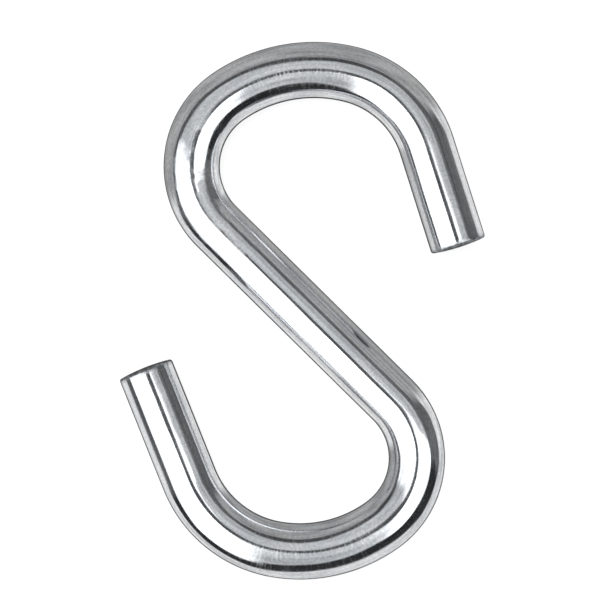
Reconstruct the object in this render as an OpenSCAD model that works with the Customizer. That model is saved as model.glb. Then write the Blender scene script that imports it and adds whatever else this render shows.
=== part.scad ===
// S-hook bent from one length of round steel rod, lying flat as it comes to rest.
// Z = 0 is the surface it lies on. The origin is the middle of its outline on that surface.
// +Y runs up the S, from the lower hook to the upper one, and +X is to the right of it.

/* [Rod] */
// Diameter of the round rod
rod_d = 8; // [5:0.5:10]
// Rounding of the edge round each cut end
tip_edge_r = 0.4; // [0.2:0.1:1]
// How far the middle of each cut end bulges past its edge
tip_bulge = 0.3; // [0.1:0.05:0.6]

/* [Shank] */
// Length of the straight between the two hooks
shank_l = 34.9; // [25:0.1:80]
// Lean of that straight away from the load line, in degrees
shank_lean = 45.4; // [38:0.2:50]

/* [Upper hook] */
// Inside radius of the bend next to the shank
upper_heel_r = 8; // [6:0.1:12]
// Turn of the bend next to the shank, in degrees
upper_heel_turn = 101.2; // [90:0.2:115]
// Inside radius of the crown, which carries the load
upper_crown_r = 17.5; // [12:0.1:25]
// Turn of the crown, in degrees
upper_crown_turn = 48.2; // [30:0.2:60]
// Inside radius of the bend into the leg
upper_toe_r = 11.1; // [8:0.1:16]
// Length of the straight leg, up to the edge of its cut end
upper_leg_l = 14.8; // [6:0.1:25]
// Lean of the leg away from the load line, in degrees
upper_leg_lean = 17.6; // [5:0.2:30]

/* [Lower hook] */
// Inside radius of the bend next to the shank
lower_heel_r = 7.6; // [6:0.1:12]
// Turn of the bend next to the shank, in degrees
lower_heel_turn = 99.6; // [90:0.2:115]
// Inside radius of the crown, which carries the load
lower_crown_r = 16.1; // [12:0.1:25]
// Turn of the crown, in degrees
lower_crown_turn = 45.4; // [30:0.2:60]
// Inside radius of the bend into the leg
lower_toe_r = 12.1; // [8:0.1:16]
// Length of the straight leg, up to the edge of its cut end
lower_leg_l = 16.8; // [6:0.1:25]
// Lean of the leg away from the load line, in degrees
lower_leg_lean = 21.8; // [5:0.2:30]

/* [Hidden] */
$fn = 96;
bright_zinc = [0.80, 0.82, 0.84];
rod_r = rod_d / 2;
draw_in = 0.02; // how far the rod's wall sinks where it is bent tightest
bite = 0.2; // how far a tight bend carries on inside the pieces on each side of it
outline_step = 1; // degrees between the points that find the outline's corners

// The cut end is part of a large ball that meets the rod's wall in a small fillet.
tip_ball_r = (rod_r * rod_r + tip_bulge * tip_bulge) / (2 * tip_bulge);
tip_fillet_x = rod_r - tip_edge_r;
tip_seam_x = tip_fillet_x * tip_ball_r / (tip_ball_r - tip_edge_r);

function tip_ball_y(leg_l) = leg_l + tip_bulge - tip_ball_r;
function tip_fillet_y(leg_l) =
    tip_ball_y(leg_l) + sqrt(pow(tip_ball_r - tip_edge_r, 2) - pow(tip_fillet_x, 2));

// Each hook is a heel, a crown and a toe, bent clockwise as seen from above, and then a straight leg.
// An arc is [centreline radius, turn], and what the heel and the crown leave of the turn is the toe's.
function arcs(heel_r, heel_turn, crown_r, crown_turn, toe_r, leg_lean) =
    let (whole_turn = 180 + shank_lean - leg_lean)
    [
        [heel_r + rod_r, heel_turn],
        [crown_r + rod_r, crown_turn],
        [toe_r + rod_r, whole_turn - heel_turn - crown_turn]
    ];

upper_arcs = arcs(upper_heel_r, upper_heel_turn, upper_crown_r, upper_crown_turn,
                  upper_toe_r, upper_leg_lean);
lower_arcs = arcs(lower_heel_r, lower_heel_turn, lower_crown_r, lower_crown_turn,
                  lower_toe_r, lower_leg_lean);

// A spot on the rod's centreline is [x, y, heading], with the heading in degrees from +X.
// Spots are counted from the middle of the shank, for a hook at its upper end.
function ahead(spot, l) = [spot.x + l * cos(spot.z), spot.y + l * sin(spot.z), spot.z];
function centre(spot, arc) = [spot.x + arc[0] * sin(spot.z), spot.y - arc[0] * cos(spot.z)];
function round_arc(spot, arc, turn, side = 0) =
    let (c = centre(spot, arc), heading = spot.z - turn, r = arc[0] + side)
    [c.x - r * sin(heading), c.y + r * cos(heading), heading];
function spots(arcs, spot = ahead([0, 0, 90 + shank_lean], shank_l / 2), i = 0) =
    i == len(arcs) ? [spot]
    : concat([spot], spots(arcs, round_arc(spot, arcs[i], arcs[i][1]), i + 1));

// Points on the outer side of a hook, round its bends and at its tip.
function outline(arcs, leg_l) =
    let (s = spots(arcs), tip = ahead(s[len(arcs)], tip_fillet_y(leg_l)))
    concat(
        [for (i = [0 : len(arcs) - 1]) for (turn = [0 : outline_step : arcs[i][1]])
            round_arc(s[i], arcs[i], turn, side = rod_r)],
        [[tip.x - rod_r * sin(tip.z), tip.y + rod_r * cos(tip.z)]]
    );

// The lower hook is worked out as an upper one and given half a turn, so its points are negated.
all_points = concat(
    [for (p = outline(upper_arcs, upper_leg_l)) [p.x, p.y]],
    [for (p = outline(lower_arcs, lower_leg_l)) [-p.x, -p.y]]
);
xs = [for (p = all_points) p.x];
ys = [for (p = all_points) p.y];
middle = [(min(xs) + max(xs)) / 2, (min(ys) + max(ys)) / 2];

module at(spot) translate([spot.x, spot.y]) rotate(spot.z) rotate([0, 90, 0]) children();

module shank() at(ahead([0, 0, 90 + shank_lean], -shank_l / 2)) cylinder(r = rod_r, h = shank_l);

module bend(spot, arc, r = rod_r)
    translate(centre(spot, arc))
        rotate(spot.z - arc[1] + 90)
            rotate_extrude(angle = arc[1]) translate([arc[0], 0]) circle(r = r);

// A tight bend is a hair thinner than the rod, and both its ends bite into the pieces beside it.
module tight_bend(spot, arc) {
    bite_turn = bite / arc[0] * 180 / PI;
    bend(round_arc(spot, arc, -bite_turn), [arc[0], arc[1] + 2 * bite_turn], rod_r - draw_in);
}

module leg(spot, leg_l)
    at(spot) rotate_extrude() {
        square([rod_r, tip_fillet_y(leg_l)]);
        translate([tip_fillet_x, tip_fillet_y(leg_l)]) circle(r = tip_edge_r);
        intersection() {
            translate([0, tip_ball_y(leg_l)]) circle(r = tip_ball_r);
            square([tip_seam_x, leg_l + tip_bulge]);
        }
    }

module hook(arcs, leg_l) {
    s = spots(arcs);
    tight_bend(s[0], arcs[0]);
    bend(s[1], arcs[1]);
    tight_bend(s[2], arcs[2]);
    leg(s[3], leg_l);
}

module s_hook()
    color(bright_zinc) translate([-middle.x, -middle.y, rod_r]) {
        shank();
        hook(upper_arcs, upper_leg_l);
        rotate(180) hook(lower_arcs, lower_leg_l);
    }

s_hook();
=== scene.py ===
"""Dresses the S-hook: one length of bright zinc-plated rod, lying on a white table and seen from above.

Blender works in metres. Lengths here are in millimetres until MM turns them into metres, and angles
are in degrees until they meet a sine or a cosine. +Y runs up the S and +X is to the right of it.
"""

import math

import bpy
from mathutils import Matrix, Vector, noise


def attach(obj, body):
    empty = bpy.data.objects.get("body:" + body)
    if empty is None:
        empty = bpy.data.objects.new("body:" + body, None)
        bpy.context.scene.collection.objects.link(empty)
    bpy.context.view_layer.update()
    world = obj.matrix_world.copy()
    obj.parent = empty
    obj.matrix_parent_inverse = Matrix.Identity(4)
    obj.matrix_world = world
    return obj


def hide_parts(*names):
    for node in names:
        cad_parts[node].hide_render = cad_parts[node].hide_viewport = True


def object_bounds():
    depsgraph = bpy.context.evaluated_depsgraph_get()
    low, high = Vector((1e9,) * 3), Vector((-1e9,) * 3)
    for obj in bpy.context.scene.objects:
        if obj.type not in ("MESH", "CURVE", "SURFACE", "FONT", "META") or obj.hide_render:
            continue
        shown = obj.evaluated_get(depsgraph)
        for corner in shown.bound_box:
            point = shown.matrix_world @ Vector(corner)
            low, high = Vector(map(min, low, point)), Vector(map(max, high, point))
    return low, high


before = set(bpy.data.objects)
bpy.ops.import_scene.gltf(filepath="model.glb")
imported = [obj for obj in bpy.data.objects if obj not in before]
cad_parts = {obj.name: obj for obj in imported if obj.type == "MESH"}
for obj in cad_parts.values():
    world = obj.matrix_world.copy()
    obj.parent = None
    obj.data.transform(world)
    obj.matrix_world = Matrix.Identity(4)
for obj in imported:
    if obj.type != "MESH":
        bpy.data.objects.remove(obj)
cad_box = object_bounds()

MM = 0.001

# The rod, and the two hooks it is bent into. Radii are those of the inside of each bend.
ROD_D = 8.0
ROD_R = ROD_D / 2
TIP_EDGE_R = 0.4
TIP_BULGE = 0.3
BALL_R = (ROD_R**2 + TIP_BULGE**2) / (2 * TIP_BULGE)  # the cut end is part of a large ball
FILLET_X = ROD_R - TIP_EDGE_R
SHANK_L = 34.9
SHANK_LEAN = 45.4
UPPER = {"heel": (8.0, 101.2), "crown": (17.5, 48.2), "toe_r": 11.1, "leg_l": 14.8, "leg_lean": 17.6}
LOWER = {"heel": (7.6, 99.6), "crown": (16.1, 45.4), "toe_r": 12.1, "leg_l": 16.8, "leg_lean": 21.8}

# The mesh
RING_STEP = 0.45  # along the rod, between rings
SIDES = 96
FILLET_STEPS = 6
DOME_STEPS = 8
WAVE_DEPTH = 0.025  # how far the surface dips below a true cylinder, at most
WAVE_LENGTH = 5.0
WAVE_STRETCH = 1.6  # how much longer the waves are along the rod
WAVE_SQUEEZE = 1.4  # how much shorter they are across it
# The cut end's colour is bare steel darkened further as painted shade, and it starts this far onto the wall.
CUT_DARKENS_FROM = 0.2  # before the rounding of the cut end starts
UV_SPAN = 80.0  # the length of rod that would fill the width of the UV map
UV_STRIPS = 3
UV_PITCH = 0.33
UV_MARGIN_U = 0.01
UV_MARGIN_V = 0.005
CAP_U = 0.82
UPPER_CAP_V = 0.08
LOWER_CAP_V = 0.24

# The picture: its scale at the height of the rod's middle, and the spot in millimetres that it centres on
IMAGE_SIDE = 600
PIXELS_PER_MM = 7.0625
VIEW_X = -0.332
VIEW_Y = 1.508
CAMERA_RISE = 600.0  # above the rod's middle
SENSOR = 36.0

DOME_R = 1.5  # metres
FLOOR_HALF = 4.0  # metres


# ---- The rod's shape ----


def runs(hook):
    """A hook from the middle of the shank to its cut end, as (length, turn to the right) runs."""
    whole_turn = 180 + SHANK_LEAN - hook["leg_lean"]
    toe_turn = whole_turn - hook["heel"][1] - hook["crown"][1]
    arcs = [hook["heel"], hook["crown"], (hook["toe_r"], toe_turn)]
    bends = [((r + ROD_R) * math.radians(turn), turn) for r, turn in arcs]
    return [(SHANK_L / 2, 0.0), *bends, (wall_l(hook["leg_l"]), 0.0)]


def wall_l(leg_l):
    """How much of the leg is plain wall, up to the fillet round its cut end."""
    return leg_l + TIP_BULGE - BALL_R + math.sqrt((BALL_R - TIP_EDGE_R) ** 2 - FILLET_X**2)


def tip_profile():
    """The cut end as (distance past the wall, radius), from the wall to the middle."""
    rise = math.sqrt((BALL_R - TIP_EDGE_R) ** 2 - FILLET_X**2)
    seam = math.atan2(rise, FILLET_X)
    fillet = [seam * i / FILLET_STEPS for i in range(1, FILLET_STEPS + 1)]
    points = [(TIP_EDGE_R * math.sin(a), FILLET_X + TIP_EDGE_R * math.cos(a)) for a in fillet]
    seam_x = points[-1][1]
    for i in range(1, DOME_STEPS):
        x = seam_x * (1 - i / DOME_STEPS)
        points.append((math.sqrt(BALL_R**2 - x**2) - rise, x))
    return points, BALL_R - rise


def centreline(hook):
    """Spots along a hook's centreline, outward from the middle of the shank.

    Each is (x, y, heading, distance along), for a hook at the upper end of the shank.
    """
    x, y, heading, along = 0.0, 0.0, math.radians(90 + SHANK_LEAN), 0.0
    spots = [(x, y, heading, along)]
    for length, turn in runs(hook):
        steps = math.ceil(length / RING_STEP)
        step, bend = length / steps, math.radians(turn) / steps
        chord = step if turn == 0 else 2 * (step / bend) * math.sin(bend / 2)
        for _ in range(steps):
            x += chord * math.cos(heading - bend / 2)
            y += chord * math.sin(heading - bend / 2)
            heading -= bend
            along += step
            spots.append((x, y, heading, along))
    return spots


def rings():
    """Every ring of the rod from the upper tip to the lower one, as (x, y, heading, along, radius)."""
    profile, _ = tip_profile()
    half = {}
    for name, hook in (("upper", UPPER), ("lower", LOWER)):
        spots = [(*spot, ROD_R) for spot in centreline(hook)]
        x, y, heading, along, _ = spots[-1]
        for past, radius in profile:
            spots.append((x + past * math.cos(heading), y + past * math.sin(heading), heading,
                          along + past, radius))
        half[name] = spots
    upper = [(x, y, h + math.pi, -along, r) for x, y, h, along, r in reversed(half["upper"][1:])]
    lower = [(-x, -y, h + math.pi, along, r) for x, y, h, along, r in half["lower"]]
    return upper + lower


def smooth_window(value, start, end, edge):
    """1 between start and end, falling to 0 over the edge outside them."""
    inside = min(value - start, end - value) / edge + 1
    t = max(0.0, min(1.0, inside))
    return t * t * (3 - 2 * t)


# Where the plating shows how the rod was bent: (along from, along to, fade, round from, round to, fade).
# Round is measured in degrees from the left of travel, so 90 is the top.
STRAIN_ZONES = [(-54.0, -42.0, 4.0, 60.0, 220.0, 40.0), (42.0, 56.0, 5.0, -10.0, 130.0, 40.0)]
SCUFF_ZONES = [(-33.0, -13.0, 5.0, -20.0, 200.0, 50.0)]


def zone_weight(zones, along, degrees):
    """How strongly a spot on the rod belongs to any of the zones."""
    most = 0.0
    for start, end, fade, low, high, soft in zones:
        weight = smooth_window(along, start, end, fade) * smooth_window(degrees, low, high, soft)
        most = max(most, weight)
    return most


def dip(along, side, up):
    """How far the surface sinks at a spot, from the slight waves that drawing and bending leave."""
    spot = Vector((along / WAVE_LENGTH / WAVE_STRETCH, side / WAVE_LENGTH * WAVE_SQUEEZE,
                   up / WAVE_LENGTH * WAVE_SQUEEZE))
    return WAVE_DEPTH * (0.5 + 0.5 * noise.noise(spot))


def make_hook():
    """The whole rod as one closed mesh, with the attributes that its plating reads."""
    rows = rings()
    _, apex = tip_profile()
    points, rod_space, strain, scuff, cut = [], [], [], [], []
    wall_start = -sum(length for length, _ in runs(UPPER))
    wall_end = sum(length for length, _ in runs(LOWER))

    def note(point, along, side, up, degrees, on_cut):
        points.append(point)
        rod_space.extend((along, side, up))
        strain.append(zone_weight(STRAIN_ZONES, along, degrees))
        scuff.append(zone_weight(SCUFF_ZONES, along, degrees))
        cut.append(on_cut)

    for x, y, heading, along, radius in rows:
        past = max(wall_start - along, along - wall_end)
        # How far a ring belongs to the cut end, whose colour is partly painted shade.
        on_cut = max(0.0, min(1.0, (past + CUT_DARKENS_FROM) / TIP_EDGE_R))
        for j in range(SIDES):
            turn = 2 * math.pi * j / SIDES
            side, up = math.cos(turn), math.sin(turn)
            r = radius - dip(along, side * ROD_R, up * ROD_R) * radius / ROD_R
            spot = (x - side * r * math.sin(heading), y + side * r * math.cos(heading), up * r)
            degrees = (math.degrees(turn) + 90) % 360 - 90
            note(spot, along, side * radius, up * radius, degrees, on_cut)
    for row, sign in ((rows[0], -1), (rows[-1], 1)):
        wall = wall_start if sign < 0 else wall_end
        x, y, heading, along, _ = row
        reach = (wall + sign * apex - along)
        spot = (x + reach * math.cos(heading), y + reach * math.sin(heading), 0.0)
        note(spot, wall + sign * apex, 0.0, 0.0, 90.0, 1.0)

    faces = []
    for i in range(len(rows) - 1):
        for j in range(SIDES):
            k = (j + 1) % SIDES
            faces.append((i * SIDES + j, i * SIDES + k, (i + 1) * SIDES + k, (i + 1) * SIDES + j))
    first, last = len(rows) * SIDES, len(rows) * SIDES + 1
    end_ring = (len(rows) - 1) * SIDES
    for j in range(SIDES):
        k = (j + 1) % SIDES
        faces.append((first, k, j))
        faces.append((last, end_ring + j, end_ring + k))

    mesh = bpy.data.meshes.new("s_hook_rod")
    low, high = box_of(points)
    want = (cad_box[0] + cad_box[1]) / 2 / MM
    shift = (want.x - (low[0] + high[0]) / 2, want.y - (low[1] + high[1]) / 2, ROD_R)
    placed = [tuple((p[i] + shift[i]) * MM for i in range(3)) for p in points]
    mesh.from_pydata(placed, [], faces)
    mesh.attributes.new("rod_space", "FLOAT_VECTOR", "POINT").data.foreach_set("vector", rod_space)
    for name, values in (("crown_strain", strain), ("heel_scuff", scuff), ("cut_end", cut)):
        mesh.attributes.new(name, "FLOAT", "POINT").data.foreach_set("value", values)
    unwrap(mesh, rows, wall_start, wall_end)
    mesh.polygons.foreach_set("use_smooth", [True] * len(mesh.polygons))
    mesh.update()
    piece = bpy.data.objects.new("s_hook_rod", mesh)
    bpy.context.scene.collection.objects.link(piece)
    return piece


def box_of(points):
    """The lowest and highest corner of some points."""
    return [min(p[i] for p in points) for i in range(3)], [max(p[i] for p in points) for i in range(3)]


def unwrap(mesh, rows, wall_start, wall_end):
    """Lays the rod out as a few long strips of UV map, with its two cut ends beside them."""
    layer = mesh.uv_layers.new(name="OFBake")
    strip_l = (wall_end - wall_start) / UV_STRIPS
    uvs = []
    for face in mesh.polygons:
        j = face.vertices[0] % SIDES
        corners = list(face.vertices)
        row = [v // SIDES for v in corners]
        is_cap = len(corners) == 3 or not wall_start <= (
            rows[row[0]][3] + rows[row[2]][3]) / 2 <= wall_end
        middle = 0.0 if len(corners) == 3 else (rows[row[0]][3] + rows[row[2]][3]) / 2
        strip = min(UV_STRIPS - 1, max(0, int((middle - wall_start) / strip_l)))
        for v in corners:
            if is_cap:
                at_start = v == len(rows) * SIDES or v // SIDES < len(rows) // 2
                radius = 0.0 if v >= len(rows) * SIDES else rows[v // SIDES][4]
                turn = 2 * math.pi * (v % SIDES) / SIDES
                uvs += [CAP_U + radius * math.cos(turn) / UV_SPAN,
                        (UPPER_CAP_V if at_start else LOWER_CAP_V) + radius * math.sin(turn) / UV_SPAN]
            else:
                column = v % SIDES
                if column == 0 and j == SIDES - 1:
                    column = SIDES
                u = (rows[v // SIDES][3] - wall_start - strip * strip_l) / UV_SPAN + UV_MARGIN_U
                v_low = UV_MARGIN_V + strip * UV_PITCH
                uvs += [u, v_low + column / SIDES * math.pi * ROD_D / UV_SPAN]
    layer.data.foreach_set("uv", uvs)


# ---- The plating ----


PLATE_DULL = (0.78, 0.80, 0.825, 1)
PLATE_BRIGHT = (0.90, 0.908, 0.912, 1)
CRYSTAL = (0.54, 0.55, 0.57, 1)
DIE_LINE = (0.40, 0.41, 0.43, 1)
# The cut ends: bare sheared steel with torn marks, both colours darker than bare steel as painted shade for
# the dark rim of the rounded end.
CUT_STEEL_AND_SHADE_DARK = (0.11, 0.115, 0.125, 1)
CUT_STEEL_AND_SHADE_PALE = (0.36, 0.37, 0.39, 1)
CUT_COVER = 0.92  # how much of the plating's colour the sheared steel and its painted shade hide

# What each mark adds to the roughness
TONE_ROUGH = 0.03
HAIRLINE_ROUGH = 0.09
RUBBED_ROUGH = 0.08
CUT_ROUGH = 0.22

# How high each mark stands, in millimetres
DRAW_LINE_H = 0.008
WAVE_H = 0.02
SPECK_H = 0.0007
HAIRLINE_H = 0.002
RIPPLE_H = 0.050
SHEAR_H = 0.030


def add(tree, kind, inputs=None, **settings):
    """A new node, with its settings made and its inputs joined or filled."""
    made = tree.nodes.new(kind)
    for name, value in settings.items():
        setattr(made, name, value)
    for name, value in (inputs or {}).items():
        if isinstance(value, bpy.types.NodeSocket):
            tree.links.new(value, made.inputs[name])
        else:
            made.inputs[name].default_value = value
    return made


def maths(tree, operation, a, b):
    """The result of one sum on two numbers or outputs."""
    return add(tree, "ShaderNodeMath", {0: a, 1: b}, operation=operation).outputs[0]


def blend(tree, share, first, second):
    """A colour that goes from the first to the second as the share goes from 0 to 1."""
    return add(tree, "ShaderNodeMix", {0: share, 6: first, 7: second}, data_type="RGBA").outputs[2]


def spread(tree, value, low, high, to_low=0.0, to_high=1.0):
    """A value between low and high, spread smoothly over another range."""
    inputs = {"Value": value, "From Min": low, "From Max": high, "To Min": to_low, "To Max": to_high}
    return add(tree, "ShaderNodeMapRange", inputs, interpolation_type="SMOOTHSTEP").outputs["Result"]


def grain(tree, space, along, across, detail=2.0, up=None):
    """Noise on the rod, with so many waves to the millimetre along it, across it and up it."""
    pitch = (along, across, across if up is None else up)
    stretched = add(tree, "ShaderNodeVectorMath", {0: space, 1: pitch}, operation="MULTIPLY").outputs[0]
    inputs = {"Vector": stretched, "Scale": 1.0, "Detail": detail, "Roughness": 0.55}
    return add(tree, "ShaderNodeTexNoise", inputs).outputs["Fac"]


def bright_zinc():
    """Bright zinc plate over drawn steel rod: nearly a mirror, with draw lines and marks from bending."""
    material = bpy.data.materials.new("bright_zinc_plate")
    material.use_nodes = True
    tree = material.node_tree
    tree.nodes.clear()
    space = add(tree, "ShaderNodeAttribute", attribute_name="rod_space").outputs["Vector"]
    strain = add(tree, "ShaderNodeAttribute", attribute_name="crown_strain").outputs["Fac"]
    scuff = add(tree, "ShaderNodeAttribute", attribute_name="heel_scuff").outputs["Fac"]
    cut = add(tree, "ShaderNodeAttribute", attribute_name="cut_end").outputs["Fac"]

    draw_lines = grain(tree, space, 0.03, 1.9, 3.0)
    haze = grain(tree, space, 0.16, 0.22, 3.0)
    specks = grain(tree, space, 3.5, 3.5, 1.0)
    crystals = grain(tree, space, 2.8, 2.8, 2.0)
    hairlines = grain(tree, space, 3.4, 0.50, 2.0)
    ripples = grain(tree, space, 0.42, 0.36, 1.0)
    die_lines = grain(tree, space, 0.02, 2.6, 2.0)
    waves = grain(tree, space, 0.16, 0.30, 1.0)
    shear_marks = spread(tree, grain(tree, space, 0.0, 1.9, 4.0, 0.22), 0.34, 0.66)

    tone = spread(tree, haze, 0.35, 0.68)
    plate = blend(tree, tone, PLATE_DULL, PLATE_BRIGHT)
    dulled = blend(tree, spread(tree, crystals, 0.36, 0.64, 0.0, 0.40), plate, CRYSTAL)
    scored = blend(tree, spread(tree, die_lines, 0.58, 0.70, 0.0, 0.55), dulled, DIE_LINE)
    # Painted shade: the cut ends are coloured darker than bare steel, over their torn marks.
    torn_and_shaded = blend(tree, shear_marks, CUT_STEEL_AND_SHADE_DARK, CUT_STEEL_AND_SHADE_PALE)
    sheared_and_shaded = blend(tree, maths(tree, "MULTIPLY", cut, CUT_COVER), scored, torn_and_shaded)

    strained = maths(tree, "MULTIPLY", strain, spread(tree, hairlines, 0.45, 0.62))
    rubbed = maths(tree, "MULTIPLY", scuff, spread(tree, ripples, 0.42, 0.60))
    rough = spread(tree, draw_lines, 0.38, 0.66, 0.06, 0.12)
    for mark, amount in ((tone, TONE_ROUGH), (strained, HAIRLINE_ROUGH), (rubbed, RUBBED_ROUGH),
                         (cut, CUT_ROUGH)):
        rough = maths(tree, "ADD", rough, maths(tree, "MULTIPLY", mark, amount))

    strained_h = maths(tree, "MULTIPLY", hairlines, strain)
    rippled_h = maths(tree, "MULTIPLY", ripples, scuff)
    torn_h = maths(tree, "MULTIPLY", shear_marks, cut)
    height = maths(tree, "MULTIPLY", draw_lines, DRAW_LINE_H)
    for mark, amount in ((waves, WAVE_H), (specks, SPECK_H), (strained_h, HAIRLINE_H),
                         (rippled_h, RIPPLE_H), (torn_h, SHEAR_H)):
        height = maths(tree, "ADD", height, maths(tree, "MULTIPLY", mark, amount))
    # The height is in millimetres, and the distance turns it into metres.
    bump = add(tree, "ShaderNodeBump", {"Strength": 1.0, "Distance": MM, "Height": height}).outputs["Normal"]

    shader = add(tree, "ShaderNodeBsdfPrincipled",
                 {"Base Color": sheared_and_shaded, "Metallic": 1.0, "Roughness": rough, "Normal": bump})
    add(tree, "ShaderNodeOutputMaterial", {"Surface": shader.outputs["BSDF"]})
    return material


# ---- The studio ----
# The rod is a mirror, so it shows what stands round it. Each thing is a card on a dome, seen only in
# the rod, with soft edges and one brightness, which is patchy as cloth and walls are. Its corners are
# placed as on a map of the sky, in degrees from the point overhead, so that the horizon is 90 from
# the middle and the point under the table 180. Azimuth 0 is to the right and 90 is up the S.

# How much light a card sends out. From about 1.2 up, it looks white in the rod.
SOFTBOX = 1.9
PALE_WALL = 0.8
CEILING = 0.6
GREY_WALL = 0.4
GREY_CLOTH = 0.15
DARK_CLOTH = 0.08
BLACK_CLOTH = 0.03

NEUTRAL = (1.0, 1.0, 1.0)
DAYLIGHT = (0.96, 0.98, 1.0)

CARD_GAP = 0.01  # metres between one card and the next one in front of it
RING_PART = 3.0  # degrees round the dome between the points of a ring
EDGE_PARTS = 10  # points along each side of a flat card
PATCH_SCALE = 2.6
PATCH_RANGE = (0.72, 1.28)  # how far a card's patches fall below and rise above its brightness

TABLE_WHITE = 0.30
TABLE_GLOW = 0.72
BACKDROP_WHITE = 0.9
BACKDROP_SINK = 0.01  # metres that the backdrop reaches below the table
ROOM_GREY = (0.56, 0.56, 0.565, 1)
LAMP_SIZE = 2.4  # metres
LAMP_POWER = 56.0
LAMP_PLACE = (-0.3, 0.3, 1.8)

cards = []


def sky_point(right, up, radius):
    """A point on the dome, from its place on the map of the sky."""
    polar = math.radians(math.hypot(right, up))
    azimuth = math.atan2(up, right)
    return (radius * math.sin(polar) * math.cos(azimuth), radius * math.sin(polar) * math.sin(azimuth),
            radius * math.cos(polar))


def glow(name, brightness, tint):
    """A slightly patchy glow, as clear as its mesh says."""
    material = bpy.data.materials.new(name)
    material.use_nodes = True
    material.cycles.emission_sampling = "NONE"
    tree = material.node_tree
    tree.nodes.clear()
    weight = add(tree, "ShaderNodeAttribute", attribute_name="weight").outputs["Fac"]
    place = add(tree, "ShaderNodeNewGeometry").outputs["Position"]
    patches = add(tree, "ShaderNodeTexNoise",
                  {"Vector": place, "Scale": PATCH_SCALE, "Detail": 3.0}).outputs["Fac"]
    strength = maths(tree, "MULTIPLY", spread(tree, patches, 0.25, 0.75, *PATCH_RANGE), brightness)
    light = add(tree, "ShaderNodeEmission", {"Color": (*tint, 1), "Strength": strength}).outputs[0]
    clear = add(tree, "ShaderNodeBsdfTransparent").outputs[0]
    surface = add(tree, "ShaderNodeMixShader", {0: weight, 1: clear, 2: light}).outputs[0]
    add(tree, "ShaderNodeOutputMaterial", {"Surface": surface})
    return material


def seen_by(obj, camera=False, glossy=False):
    """Sets which rays meet a piece of the studio."""
    obj.visible_camera = camera
    obj.visible_glossy = glossy
    obj.visible_diffuse = False
    obj.visible_shadow = False
    obj.visible_transmission = False


def mesh_object(name, points, faces, material):
    """A mesh object in the scene."""
    mesh = bpy.data.meshes.new(name)
    mesh.from_pydata(points, [], faces)
    mesh.materials.append(material)
    made = bpy.data.objects.new(name, mesh)
    bpy.context.scene.collection.objects.link(made)
    return made


def hang(name, brightness, places, faces, tint):
    """Hangs a card in front of the others. A place is (right, up, weight)."""
    radius = DOME_R - CARD_GAP * len(cards)
    points = [sky_point(right, up, radius) for right, up, _ in places]
    made = mesh_object(name, points, faces, glow(name, brightness, tint))
    weights = made.data.attributes.new("weight", "FLOAT", "POINT")
    weights.data.foreach_set("value", [weight for _, _, weight in places])
    seen_by(made, glossy=True)
    cards.append(made)


def flat_card(name, brightness, corners, tint=DAYLIGHT, feather=1.0):
    """A card with straight sides round the point overhead, which fade out over the feather."""
    rim = []
    for (x0, y0), (x1, y1) in zip(corners, corners[1:] + corners[:1]):
        rim += [(x0 + (x1 - x0) * t / EDGE_PARTS, y0 + (y1 - y0) * t / EDGE_PARTS)
                for t in range(EDGE_PARTS)]
    n = len(rim)
    inner = [(x, y, 1 - feather / math.hypot(x, y)) for x, y in rim]
    places = [(0.0, 0.0, 1.0)]
    places += [(x * part, y * part, 1.0) for x, y, part in inner]
    places += [(x, y, 0.0) for x, y in rim]
    faces = []
    for i in range(n):
        k = (i + 1) % n
        faces.append((0, 1 + i, 1 + k))
        faces.append((1 + i, 1 + n + i, 1 + n + k, 1 + k))
    hang(name, brightness, places, faces, tint)


def ring(name, brightness, stations, tint=DAYLIGHT, feather=6.0, end_fade=8.0):
    """A card that curves round the dome. A station is (azimuth, near edge, far edge), in degrees."""
    start, end = stations[0][0], stations[-1][0]
    whole = end - start >= 360
    places, faces, count = [], [], 0
    for first, second in zip(stations, stations[1:]):
        steps = max(1, round((second[0] - first[0]) / RING_PART))
        for i in range(steps + (second is stations[-1])):
            turn, near, far = (a + (b - a) * i / steps for a, b in zip(first, second))
            side = 1.0 if whole else min(1.0, (turn - start) / end_fade, (end - turn) / end_fade)
            low = near + feather / 2
            high = max(low + 0.5, far - feather / 2)
            rows = [(max(0.0, low - feather), 0.0), (low, side), (high, side), (high + feather, 0.0)]
            azimuth = math.radians(turn)
            places += [(polar * math.cos(azimuth), polar * math.sin(azimuth), weight)
                       for polar, weight in rows]
            count += 1
    n = len(rows)
    for i in range(count - 1):
        for j in range(n - 1):
            faces.append((i * n + j, i * n + j + 1, (i + 1) * n + j + 1, (i + 1) * n + j))
    hang(name, brightness, places, faces, tint)


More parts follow.
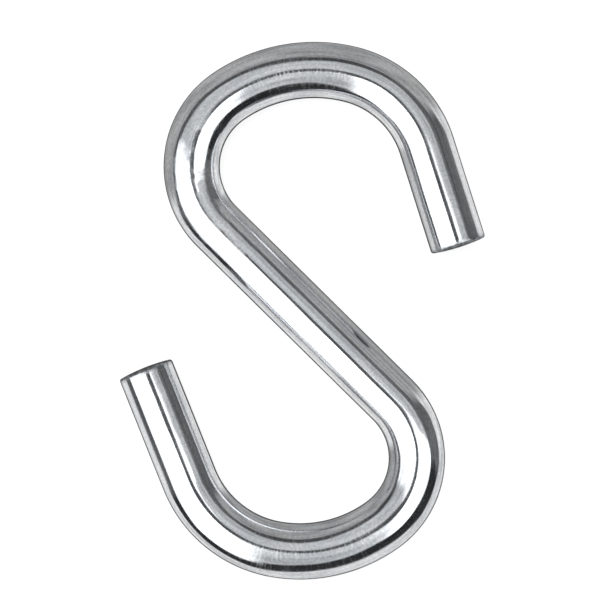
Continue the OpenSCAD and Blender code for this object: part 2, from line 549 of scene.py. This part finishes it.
def surroundings():
    """What the rod reflects, from the back of the dome to the front."""
    ring("low_walls", PALE_WALL, [(0, 90, 150), (360, 90, 150)], NEUTRAL)
    ring("under_table", DARK_CLOTH, [(0, 145, 180), (360, 145, 180)], NEUTRAL)
    ring("left_wall", GREY_WALL, [(120, 60, 150), (200, 75, 150)], NEUTRAL, 8)
    ring("back_wall", GREY_WALL, [(30, 50, 150), (90, 45, 150), (135, 60, 150)], NEUTRAL, 8)
    ring("ceiling", CEILING,
         [(0, 0, 60), (90, 0, 45), (180, 0, 75), (225, 0, 80), (270, 0, 60), (360, 0, 60)])
    ring("left_softbox", SOFTBOX, [(160, 0, 70), (200, 0, 80), (225, 0, 90), (255, 0, 80)], DAYLIGHT, 2)
    ring("right_softbox", SOFTBOX, [(-60, 0, 60), (0, 0, 60), (35, 0, 35)], DAYLIGHT, 2)
    ring("right_flag", GREY_CLOTH, [(-15, 60, 105), (10, 50, 105), (20, 35, 100), (60, 35, 60)], DAYLIGHT, 4)
    ring("right_flag_edge", DARK_CLOTH, [(-45, 75, 95), (30, 75, 100)], DAYLIGHT)
    ring("back_flag", DARK_CLOTH, [(30, 40, 55), (90, 35, 55), (135, 55, 75)], DAYLIGHT, 4)
    ring("left_flag", DARK_CLOTH, [(120, 50, 70), (180, 65, 80), (210, 80, 105)], DAYLIGHT, 4)
    ring("near_flag", BLACK_CLOTH,
         [(200, 80, 105), (225, 70, 105), (250, 70, 105), (270, 55, 90), (300, 50, 85), (360, 60, 100)],
         DAYLIGHT, 4)
    ring("left_stand", BLACK_CLOTH, [(140, 90, 100), (195, 90, 100)], DAYLIGHT, 3)
    flat_card("camera", DARK_CLOTH, [(15, -8), (15, 4), (0, 4), (-10, 8), (-15, 4), (-15, -5), (0, -7)])


def floor_and_backdrop():
    """A plain white table and a pale backdrop. Neither shows in the rod."""
    half = FLOOR_HALF
    white = bpy.data.materials.new("white_table")
    white.use_nodes = True
    tree = white.node_tree
    tree.nodes.clear()
    paint = add(tree, "ShaderNodeBsdfDiffuse", {"Color": (*[TABLE_WHITE] * 3, 1)})
    shine = add(tree, "ShaderNodeEmission", {"Color": (1, 1, 1, 1), "Strength": TABLE_GLOW})
    both = add(tree, "ShaderNodeAddShader", {0: paint.outputs[0], 1: shine.outputs[0]})
    add(tree, "ShaderNodeOutputMaterial", {"Surface": both.outputs[0]})
    white.cycles.emission_sampling = "NONE"
    corners = [(-half, -half, 0), (half, -half, 0), (half, half, 0), (-half, half, 0)]
    seen_by(mesh_object("table", corners, [(0, 1, 2, 3)], white), camera=True)
    walls = [(half * math.cos(a), half * math.sin(a)) for a in (math.radians(d) for d in range(0, 360, 10))]
    points = [(x, y, z) for z in (-BACKDROP_SINK, half) for x, y in walls]
    n = len(walls)
    faces = [(i, (i + 1) % n, n + (i + 1) % n, n + i) for i in range(n)]
    pale = bpy.data.materials.new("pale_backdrop")
    pale.use_nodes = True
    tree = pale.node_tree
    tree.nodes.clear()
    light = add(tree, "ShaderNodeEmission", {"Color": (*[BACKDROP_WHITE] * 3, 1), "Strength": 1.0})
    add(tree, "ShaderNodeOutputMaterial", {"Surface": light.outputs[0]})
    seen_by(mesh_object("backdrop", points, faces, pale), camera=True)


def lamp():
    """One wide soft lamp overhead. It lights the table, and the cards light the rod."""
    light = bpy.data.lights.new("overhead", "AREA")
    light.shape = "DISK"
    light.size = LAMP_SIZE
    light.energy = LAMP_POWER
    made = bpy.data.objects.new("overhead", light)
    made.location = LAMP_PLACE
    made.rotation_euler = (Vector((0, 0, 0)) - made.location).to_track_quat("-Z", "Y").to_euler()
    made.visible_camera = False
    made.visible_glossy = False
    bpy.context.scene.collection.objects.link(made)


def set_camera():
    """Looks straight down, with the S upright in the frame."""
    data = bpy.data.cameras.new("camera")
    data.sensor_width = SENSOR
    data.lens = SENSOR * CAMERA_RISE / (IMAGE_SIDE / PIXELS_PER_MM)
    camera = bpy.data.objects.new("camera", data)
    camera.location = (VIEW_X * MM, VIEW_Y * MM, (ROD_R + CAMERA_RISE) * MM)
    bpy.context.scene.collection.objects.link(camera)
    bpy.context.scene.camera = camera


def set_world():
    """Grey light from everywhere that no card covers."""
    world = bpy.data.worlds.new("grey_room")
    world.use_nodes = True
    grey = world.node_tree.nodes["Background"]
    grey.inputs["Color"].default_value = ROOM_GREY
    grey.inputs["Strength"].default_value = 1.0
    bpy.context.scene.world = world


hook = make_hook()
hook.data.materials.append(bright_zinc())
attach(hook, "root")
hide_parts("s_hook")
set_world()
surroundings()
floor_and_backdrop()
lamp()
set_camera()
bpy.context.scene.view_settings.view_transform = "Standard"
